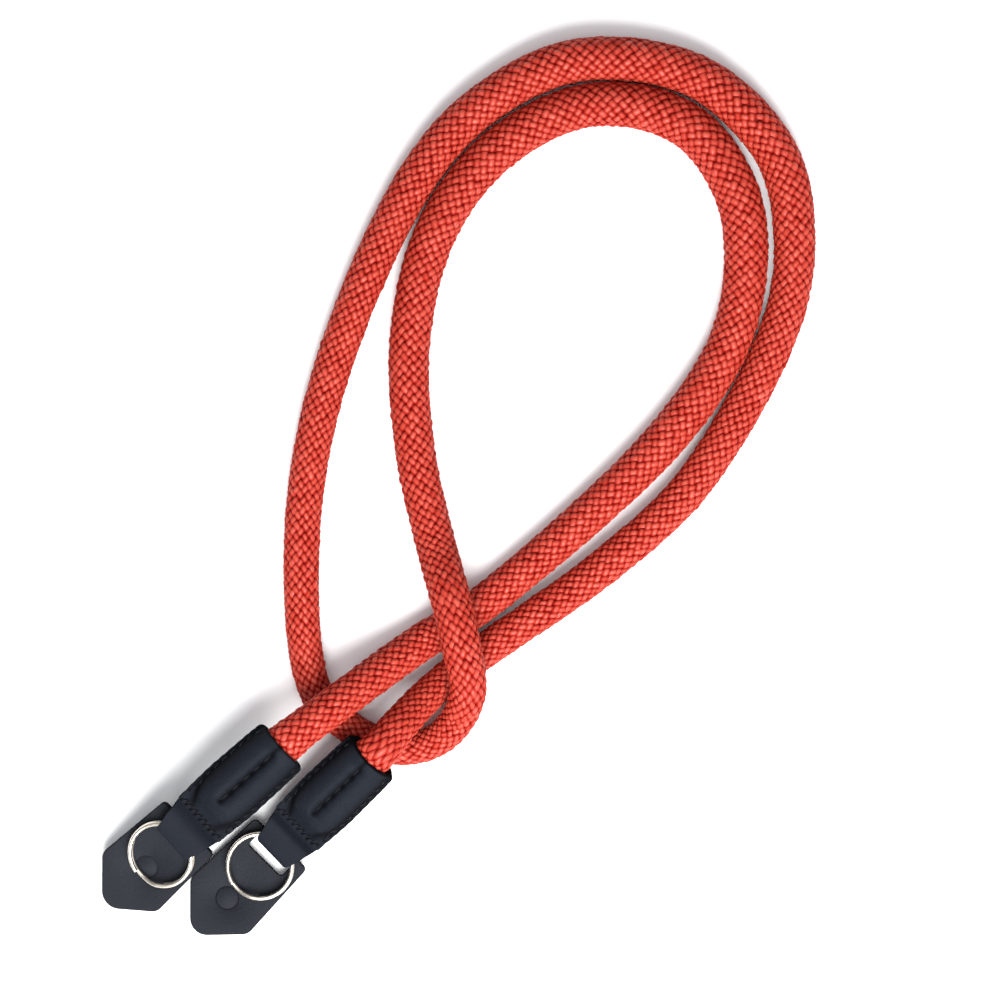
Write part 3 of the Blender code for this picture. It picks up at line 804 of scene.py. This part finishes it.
def leather(name, dark, light, roughness, gloss, grain, grain_depth):
    """Dyed leather: fine pores, soft mottling, dry cut edges, painted shade in holes and creases.
    """
    finish = Finish(name, Specular_IOR_Level=gloss)
    mottling = finish.cloud(2.6 * MM, detail=4.0)
    pores = finish.node(
        "ShaderNodeTexVoronoi",
        {"feature": "F1"},
        {"Vector": finish.place(), "Scale": 1.0 / grain, "Randomness": 1.0},
    )
    nap = finish.cloud(grain * 0.45, detail=3.0)
    cut = finish.values_of("cut")
    neck_wear_and_painted_shade = finish.values_of("neck_wear_and_painted_shade")
    painted_hollow_shade = finish.values_of("painted_hollow_shade")
    # The neck is worn grey in its middle; the darker dye kept towards its fold and cross seam is
    # painted shade.
    worn_share_and_painted_shade = neck_wear_and_painted_shade * (0.55 + 0.9 * mottling)
    dyed = finish.between(worn_share_and_painted_shade, finish.between(mottling, dark, light), WORN_GREY)
    speckled = finish.between((nap - 0.3) * 1.4, dyed, tuple(2.1 * c for c in light))
    edged = finish.between(cut * 0.8, speckled, tuple(0.55 * c for c in dark))
    dullness = roughness + 0.14 * mottling - 0.07 * pores + 0.2 * cut + 0.3 * neck_wear_and_painted_shade + 0.3 * painted_hollow_shade
    # Holes, groove, creases and the flap's pressed ring are darkened towards the hole colour as
    # painted shade.
    finish.surface(
        Base_Color=finish.between(painted_hollow_shade, edged, HOLE_PAINTED_SHADE),
        Roughness=dullness,
        Normal=finish.relief(nap, grain_depth * 0.6, finish.relief(pores, grain_depth)),
    )
    return finish


sleeve_leather = leather(
    "smooth black leather",
    dark=(0.0046, 0.0056, 0.0078),
    light=(0.0079, 0.0093, 0.0127),
    roughness=0.50,
    gloss=0.026,
    grain=0.5 * MM,
    grain_depth=0.035 * MM,
)
thread_finish = Finish("waxed black thread", Roughness=0.6, Specular_IOR_Level=0.15)
thread_blotches = thread_finish.cloud(0.4 * MM)
thread_finish.surface(
    Base_Color=thread_finish.between(thread_blotches, (0.002, 0.002, 0.003), (0.007, 0.008, 0.010)),
    Normal=thread_finish.relief(thread_finish.cloud(0.12 * MM), 0.05 * MM),
)


def round_tube(line, side, up, width, sides):
    """Circles of points round a line, from its side and up directions and its half widths."""
    turns = np.linspace(0, 2 * math.pi, sides, endpoint=False)[:, None]
    circles = np.cos(turns) * side[:, None] + np.sin(turns) * up[:, None]
    return line[:, None] + circles * width[:, None, None]


def stitch_tube(points, radius, sides=7):
    """Points and faces of a short thread, thinner towards its two ends."""
    line = np.asarray(points)
    forward = unit(np.gradient(line, axis=0))
    side = unit(np.cross(forward, ASKEW))
    share = np.linspace(-1, 1, len(line))
    width = radius * (1 - THREAD_TAPER * np.abs(share) ** 4)
    tube = round_tube(line, side, np.cross(forward, side), width, sides)
    return tube.reshape(-1, 3), grid_faces(len(line), sides, closed=True)


class Seams:
    """The sewing thread of one sleeve, stitch by stitch, on the outside of its leather."""

    def __init__(self, grid, distances):
        self.top = grid[:, :HALF_COLUMNS]
        self.other = grid[:, -np.arange(HALF_COLUMNS)]
        self.distances = distances
        self.points = []
        self.faces = []
        self.count = 0

    def on_leather(self, distance, across, upper):
        """Point on the outside and its outward direction."""
        half = len(self.distances) // 2
        rows = np.arange(half)
        if not upper:
            rows = rows + len(self.distances) - half
        row = rows[np.argmin(np.abs(self.distances[rows] - distance))]
        columns = self.top if across >= 0 else self.other
        line = columns[row]
        sideways = unit(line[-1] - line[0])
        reach = (line - line[0]) @ sideways
        k = min(max(int(np.searchsorted(reach, abs(across))), 1), HALF_COLUMNS - 1)
        share = (abs(across) - reach[k - 1]) / max(reach[k] - reach[k - 1], 1e-9)
        point = line[k - 1] + (line[k] - line[k - 1]) * min(max(share, 0.0), 1.0)
        next_row = row + 1 if row + 1 < len(self.distances) else row - 1
        along = columns[next_row, k] - line[k]
        normal = unit(np.cross(line[k] - line[k - 1], along))
        sign = (1.0 if next_row > row else -1.0) * (1.0 if across >= 0 else -1.0)
        return point, normal * sign

    def stitch(self, start, stop, upper, thread):
        """A thread from one hole to the next, given as distance and place across."""
        radius, crown = thread
        line = []
        for share in np.linspace(0, 1, STITCH_ROWS):
            distance = start[0] + (stop[0] - start[0]) * share
            across = start[1] + (stop[1] - start[1]) * share
            point, outward = self.on_leather(distance, across, upper)
            off_middle = abs(2 * share - 1)
            lift = crown * (1 - off_middle ** 3) - radius * THREAD_DIVE * off_middle ** 6
            line.append(point + outward * lift)
        points, faces = stitch_tube(line, radius)
        self.points.append(points)
        self.faces.append(faces + self.count)
        self.count += len(points)

    def sew(self):
        starts = HOLE_PLACES - GROOVE_STITCH_INSET
        stops = HOLE_PLACES[1:] + GROOVE_STITCH_INSET
        for upper in (True, False):
            for start, stop in zip(starts, stops):
                self.stitch((start, 0.0), (stop, 0.0), upper, GROOVE_THREAD)
            for start, stop in edge_stitches():
                self.stitch(start, stop, upper, EDGE_THREAD)
            for start, stop in cross_stitches():
                self.stitch(start, stop, upper, CROSS_THREAD)


for name, end in ENDS.items():
    distances, strip = sleeve_grid(end)
    grid = placed(end_frame(end), strip)
    rows, columns = grid.shape[:2]
    faces = grid_faces(rows, columns, closed=True).tolist()
    side = np.arange(columns // 2 + 1)
    # The cut leather of both mouths; its outermost faces have three corners
    for k in range(HALF_COLUMNS + 1):
        corners = np.array((side[k], side[k + 1], side[-k - 2], side[-k - 1]))
        for mouth in (corners[::-1], -corners % columns):
            faces.append(list(dict.fromkeys(mouth.tolist())))
            faces.append(list(dict.fromkeys(((rows - 1) * columns + mouth[::-1]).tolist())))
    cut = np.zeros((rows, columns))
    edge = np.arange(HALF_COLUMNS, HALF_COLUMNS + 3)
    cut[:, edge] = 1.0
    cut[:, columns - edge] = 1.0
    cut[0] = cut[-1] = 1.0
    solid = name + "_sleeve"
    sleeve = new_piece(name + "_sleeve_leather", grid, faces, sleeve_leather, solid)
    add_values(sleeve, "cut", cut)
    neck_places, neck_tones = np.array(NECK_TONES).T
    # Wear of the neck, with painted shade where it falls towards the fold and the cross seam
    neck_wear_and_painted_shade = np.interp(distances / MM, neck_places, neck_tones)
    add_values(sleeve, "neck_wear_and_painted_shade", np.repeat(neck_wear_and_painted_shade, columns))
    add_values(sleeve, "painted_hollow_shade", shaded(distances, strip[..., 1]))
    seams = Seams(grid, distances)
    seams.sew()
    thread_faces = np.vstack(seams.faces).tolist()
    new_piece(
        name + "_sleeve_thread", np.vstack(seams.points), thread_faces, thread_finish
    )

# The split rings. Each is two close turns of 1.1 mm spring steel wire, nickel plated, which hang
# in the fold of a sleeve and lie on its flap. The wire crosses over once; its ends are cut square.
RING_RADIUS = 8.05 * MM
RING_WIRE = 1.1 * MM
RING_PITCH = 1.2 * MM
RING_CROSSOVER = 40.0
RING_FIRST_TURN = 314.0
RING_CENTRE = (-4.03 * MM, -0.3 * MM, 0.3 * MM)
WIRE_ROWS = 240
WIRE_SIDES = 16
WIRE_END_BEVEL = 0.08 * MM
WIRE_END_STEP = 0.3

steel = Finish("nickel plated steel", Metallic=1.0)
scuffs = steel.cloud(0.35 * MM, steel.stretched(steel.place(), (1.0, 1.0, 0.3)))
steel.surface(
    Base_Color=steel.between(scuffs, (0.60, 0.54, 0.46), (0.78, 0.72, 0.64)),
    Roughness=0.28 + 0.14 * scuffs,
    Normal=steel.relief(scuffs, 0.01 * MM),
)

for name, end in ENDS.items():
    total = 2 * RING_FIRST_TURN + RING_CROSSOVER
    travelled = np.linspace(0.0, total, WIRE_ROWS)
    angle = np.radians(end["ring_end"] - total + travelled)
    height = RING_PITCH * eased((travelled - RING_FIRST_TURN) / RING_CROSSOVER)
    wire = np.column_stack((RING_RADIUS * np.cos(angle), RING_RADIUS * np.sin(angle), height))
    outward = np.column_stack((np.cos(angle), np.sin(angle), np.zeros(WIRE_ROWS)))
    upward = np.cross(outward, unit(np.gradient(wire, axis=0)))
    width = np.full(WIRE_ROWS, RING_WIRE / 2)
    width[[0, -1]] = RING_WIRE / 2 - WIRE_END_BEVEL
    wire[0] = wire[1] + (wire[0] - wire[1]) * WIRE_END_STEP
    wire[-1] = wire[-2] + (wire[-1] - wire[-2]) * WIRE_END_STEP
    tube = round_tube(wire, outward, upward, width, WIRE_SIDES) + np.array(RING_CENTRE)
    faces = grid_faces(WIRE_ROWS, WIRE_SIDES, closed=True)[:, ::-1].tolist()
    faces.append(list(range(WIRE_SIDES)))
    faces.append([WIRE_ROWS * WIRE_SIDES - 1 - k for k in range(WIRE_SIDES)])
    points = placed(end_frame(end), tube)
    new_piece(name + "_split_ring", points, faces, steel, name + "_ring")

# The flaps keep the rings off the camera's sides. Each is a shield of 1.5 mm matt black leather,
# punched out with a slot for the sleeve's fold, and lies loose under its ring.
FLAP_THICKNESS = 1.5 * MM
FLAP_SIDE = 22.2 * MM
FLAP_POINT = 8.6 * MM
FLAP_TOP_HALF = 9.1 * MM
FLAP_SHOULDER_HALF = 10.1 * MM
FLAP_CORNERS = (1.3 * MM, 3.2 * MM, 4.2 * MM)
FLAP_ROUNDING = 0.3 * MM
FLAP_ROUND_STEPS = (0, 22.5, 45, 67.5, 90)
FLAP_CUT_WIDTH = 0.2 * MM
OUTLINE_STEP = 0.8 * MM
SLOT_NEAR = -2.0 * MM
SLOT_FAR = -6.0 * MM
SLOT_HALF = 5.7 * MM
SLOT_CORNER = 0.8 * MM
MARK_RADIUS = 2.85 * MM
MARK_WIDTH = 0.2 * MM
MARK_DEPTH = 0.15 * MM
MARK_SECTION = ((-1.0, 0.0), (-0.5, 0.7), (0.0, 1.0), (0.5, 0.7), (1.0, 0.0))
MARK_STEPS = 64
SAME_PLACE = 1e-7
SMALLEST_FACE = 1e-10


def rounded_outline(corners, steps=9):
    """Points and outward directions of an outline through corners (x, y, radius) with arcs."""
    points = []
    outward = []
    for k, (x, y, radius) in enumerate(corners):
        corner = np.array((x, y))
        before = unit(np.array(corners[k - 1][:2]) - corner)
        after = unit(np.array(corners[(k + 1) % len(corners)][:2]) - corner)
        half = math.acos(float(before @ after)) / 2
        centre = corner + unit(before + after) * radius / math.sin(half)
        start = corner + before * radius / math.tan(half) - centre
        stop = corner + after * radius / math.tan(half) - centre
        first = math.atan2(start[1], start[0])
        turn = (math.atan2(stop[1], stop[0]) - first + math.pi) % (2 * math.pi) - math.pi
        for share in np.linspace(0, 1, steps):
            arm = np.array((math.cos(first + turn * share), math.sin(first + turn * share)))
            points.append(centre + arm * radius)
            outward.append(arm)
    return np.array(points), np.array(outward)


def filled(outline):
    """Points added along the straight stretches of an outline."""
    points, outward = outline
    made = []
    for k in range(len(points)):
        one, two = points[k], points[(k + 1) % len(points)]
        pieces = max(1, round(np.linalg.norm(two - one) / OUTLINE_STEP))
        for share in np.arange(pieces) / pieces:
            direction = unit(outward[k] + (outward[(k + 1) % len(points)] - outward[k]) * share)
            made.append((*(one + (two - one) * share), *direction))
    made = np.array(made)
    return made[:, :2], made[:, 2:]


def flap_corners():
    top, shoulder, tip = FLAP_CORNERS
    reach = math.hypot(FLAP_POINT - tip, FLAP_SHOULDER_HALF)
    slope = math.atan2(FLAP_SHOULDER_HALF, FLAP_POINT - tip) - math.asin(tip / reach)
    point = FLAP_SIDE + FLAP_SHOULDER_HALF / math.tan(slope)
    return (
        (0.0, -FLAP_TOP_HALF, top),
        (0.0, FLAP_TOP_HALF, top),
        (-FLAP_SIDE, FLAP_SHOULDER_HALF, shoulder),
        (-point, 0.0, tip),
        (-FLAP_SIDE, -FLAP_SHOULDER_HALF, shoulder),
    )


SLOT_CORNERS = (
    (SLOT_NEAR, -SLOT_HALF, SLOT_CORNER),
    (SLOT_NEAR, SLOT_HALF, SLOT_CORNER),
    (SLOT_FAR, SLOT_HALF, SLOT_CORNER),
    (SLOT_FAR, -SLOT_HALF, SLOT_CORNER),
)


def within(point, loop):
    """Whether a point lies inside a closed loop of points."""
    x, y = point
    after = np.roll(loop, -1, axis=0)
    spans = (loop[:, 1] > y) != (after[:, 1] > y)
    rise = np.where(spans, after[:, 1] - loop[:, 1], 1.0)
    crossing = loop[:, 0] + (y - loop[:, 1]) / rise * (after[:, 0] - loop[:, 0])
    return bool(np.count_nonzero(spans & (crossing > x)) % 2)


def flap_mesh(mark, mark_painted_shade):
    """Flap from its own top edge: two flat faces, rounded cut edges and a ring pressed in above."""
    rim, rim_out = filled(rounded_outline(flap_corners()))
    slot, slot_out = filled(rounded_outline(SLOT_CORNERS))
    insets = [(2 * FLAP_ROUNDING, FLAP_THICKNESS / 2)]
    for turn in np.radians(FLAP_ROUND_STEPS):
        inset = FLAP_ROUNDING * (1 - math.sin(turn))
        insets.append((inset, FLAP_THICKNESS / 2 - FLAP_ROUNDING * (1 - math.cos(turn))))
    profile = insets + [(inset, -height) for inset, height in insets[::-1]]
    points = []
    faces = []
    cut = []
    pressed = []
    loops = []
    for outline, outward, sign in ((rim, rim_out, -1.0), (slot[::-1], slot_out[::-1], 1.0)):
        first = len(points)
        for inset, height in profile:
            ring = outline + sign * outward * inset
            points.extend((x, y, height) for x, y in ring)
            cut.extend([0.0 if inset > FLAP_CUT_WIDTH else 1.0] * len(ring))
            pressed.extend([0.0] * len(ring))
        edge_faces = grid_faces(len(profile), len(outline), closed=True)[:, ::-1] + first
        faces.extend(edge_faces.tolist())
        loops.append((first, len(outline)))
    rim_loop, slot_loop = (
        np.array([point[:2] for point in points[first:first + count]]) for first, count in loops
    )
    for side in (1, -1):
        # Both borders of this face, and on the upper face the five rings of the pressed mark
        flat = []
        edges = []
        owners = []
        for first, count in loops:
            start = first if side > 0 else first + (len(profile) - 1) * count
            base = len(flat)
            for k in range(count):
                flat.append(points[start + k][:2])
                owners.append(start + k)
                edges.append((base + k, base + (k + 1) % count))
        depths = [0.0] * len(flat)
        mark_rings = MARK_SECTION if side > 0 else ()
        for offset, depth in mark_rings:
            base = len(flat)
            radius = MARK_RADIUS + offset * MARK_WIDTH
            for k in range(MARK_STEPS):
                angle = 2 * math.pi * k / MARK_STEPS
                flat.append((mark + radius * math.cos(angle), radius * math.sin(angle)))
                depths.append(depth)
                owners.append(None)
                edges.append((base + k, base + (k + 1) % MARK_STEPS))
        made = delaunay_2d_cdt([tuple(p) for p in flat], edges, [], 0, SAME_PLACE)
        places, triangles, origins = made[0], made[2], made[3]
        number = []
        for place, origin in zip(places, origins):
            owner = owners[origin[0]] if origin else None
            if owner is None:
                depth = depths[origin[0]] if origin else 0.0
                points.append((place.x, place.y, side * (FLAP_THICKNESS / 2 - depth * MARK_DEPTH)))
                cut.append(0.0)
                # The pressed ring's groove is darkened as painted shade, most at its bottom.
                pressed.append(mark_painted_shade * depth)
                owner = len(points) - 1
            number.append(owner)
        for face in triangles:
            a, b, c = (places[k] for k in face)
            centre = (a + b + c) / 3
            real = abs((b - a).cross(c - a)) > SMALLEST_FACE
            if real and within(centre, rim_loop) and not within(centre, slot_loop):
                corners = [number[k] for k in face]
                faces.append(corners if side > 0 else corners[::-1])
    return np.array(points), faces, cut, pressed


flap_leather = leather(
    "matt black leather",
    dark=(0.0057, 0.0069, 0.0093),
    light=(0.0088, 0.0103, 0.0134),
    roughness=0.68,
    gloss=0.13,
    grain=0.5 * MM,
    grain_depth=0.06 * MM,
)
for name, end in ENDS.items():
    points, faces, cut, pressed = flap_mesh(end["mark"] * MM, end["mark_painted_shade"])
    on_end = np.array(
        Matrix.Translation((0.0, 0.0, FLAP_BOTTOM + FLAP_THICKNESS / 2))
        @ Matrix.Rotation(math.radians(end["flap_turn"]), 4, "Z")
        @ Matrix.Translation((end["flap_top"] * MM, 0.0, 0.0))
    )
    points = placed(end_frame(end), placed(on_end, points))
    flap = new_piece(name + "_flap", points, faces, flap_leather, name + "_protector")
    add_values(flap, "cut", cut)
    # The finish paints shade into the pressed ring's groove.
    add_values(flap, "painted_hollow_shade", pressed)

# The table top is a smooth white board, painted matt. The strap lies loose on it, and it runs out
# of view on all sides.
TABLE_WHITE = (0.96, 0.96, 0.96, 1.0)
TABLE_CORNERS = ((-3, -3, 0), (3, -3, 0), (3, 3, 0), (-3, 3, 0))

floor_finish = Finish(
    "white table top", Base_Color=TABLE_WHITE, Roughness=0.9, Specular_IOR_Level=0.1
)
floor_mesh = bpy.data.meshes.new("table_top")
floor_mesh.from_pydata(TABLE_CORNERS, [], [(0, 1, 2, 3)])
floor_mesh.materials.append(floor_finish.material)
floor = bpy.data.objects.new("table_top", floor_mesh)
bpy.context.scene.collection.objects.link(floor)
floor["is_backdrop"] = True

# The light comes from a white ceiling over a darker room, and from one large soft lamp that stands
# beyond the strap's lower side and is aimed at its middle.
ROOM_TINT = (0.985, 1.0, 1.03)
LAMP_PLACE = (0.172, -0.716, 0.958)
LAMP_AIM = (0.06, 0.08, 0.0)
LAMP_WIDTH = 1.0
LAMP_POWER = 42.5

# How bright the room is, from the horizon at height 0 to straight above at height 1. The first two
# are the ramp's own two stops.
ROOM_LIGHT = ((0.0, 0.11), (1.0, 1.75), (0.65, 0.18), (0.88, 1.15))

room = bpy.data.worlds.new("white room")
room.use_nodes = True
sky = Nodes(room.node_tree)
height = sky.node("ShaderNodeSeparateXYZ", {}, {0: sky.node("ShaderNodeTexCoord")}, output="Z")
stops = [(level, [tint * bright for tint in ROOM_TINT]) for level, bright in ROOM_LIGHT]
room_light = sky.node("ShaderNodeValToRGB", {"stops": stops}, {0: height})
sky.feed(room.node_tree.nodes["Background"].inputs["Color"], room_light)
bpy.context.scene.world = room
bpy.context.scene.view_settings.view_transform = "Standard"

lamp = bpy.data.objects.new("soft_lamp", bpy.data.lights.new("soft_lamp", "AREA"))
lamp.data.shape = "DISK"
lamp.data.size = LAMP_WIDTH
lamp.data.energy = LAMP_POWER
lamp.location = LAMP_PLACE
towards = Vector(LAMP_PLACE) - Vector(LAMP_AIM)
lamp.rotation_euler = towards.to_track_quat("Z", "Y").to_euler()
bpy.context.scene.collection.objects.link(lamp)

boxes = {"cad": cad_box, "visual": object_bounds()}
plain = {key: [[float(v) for v in corner] for corner in box] for key, box in boxes.items()}
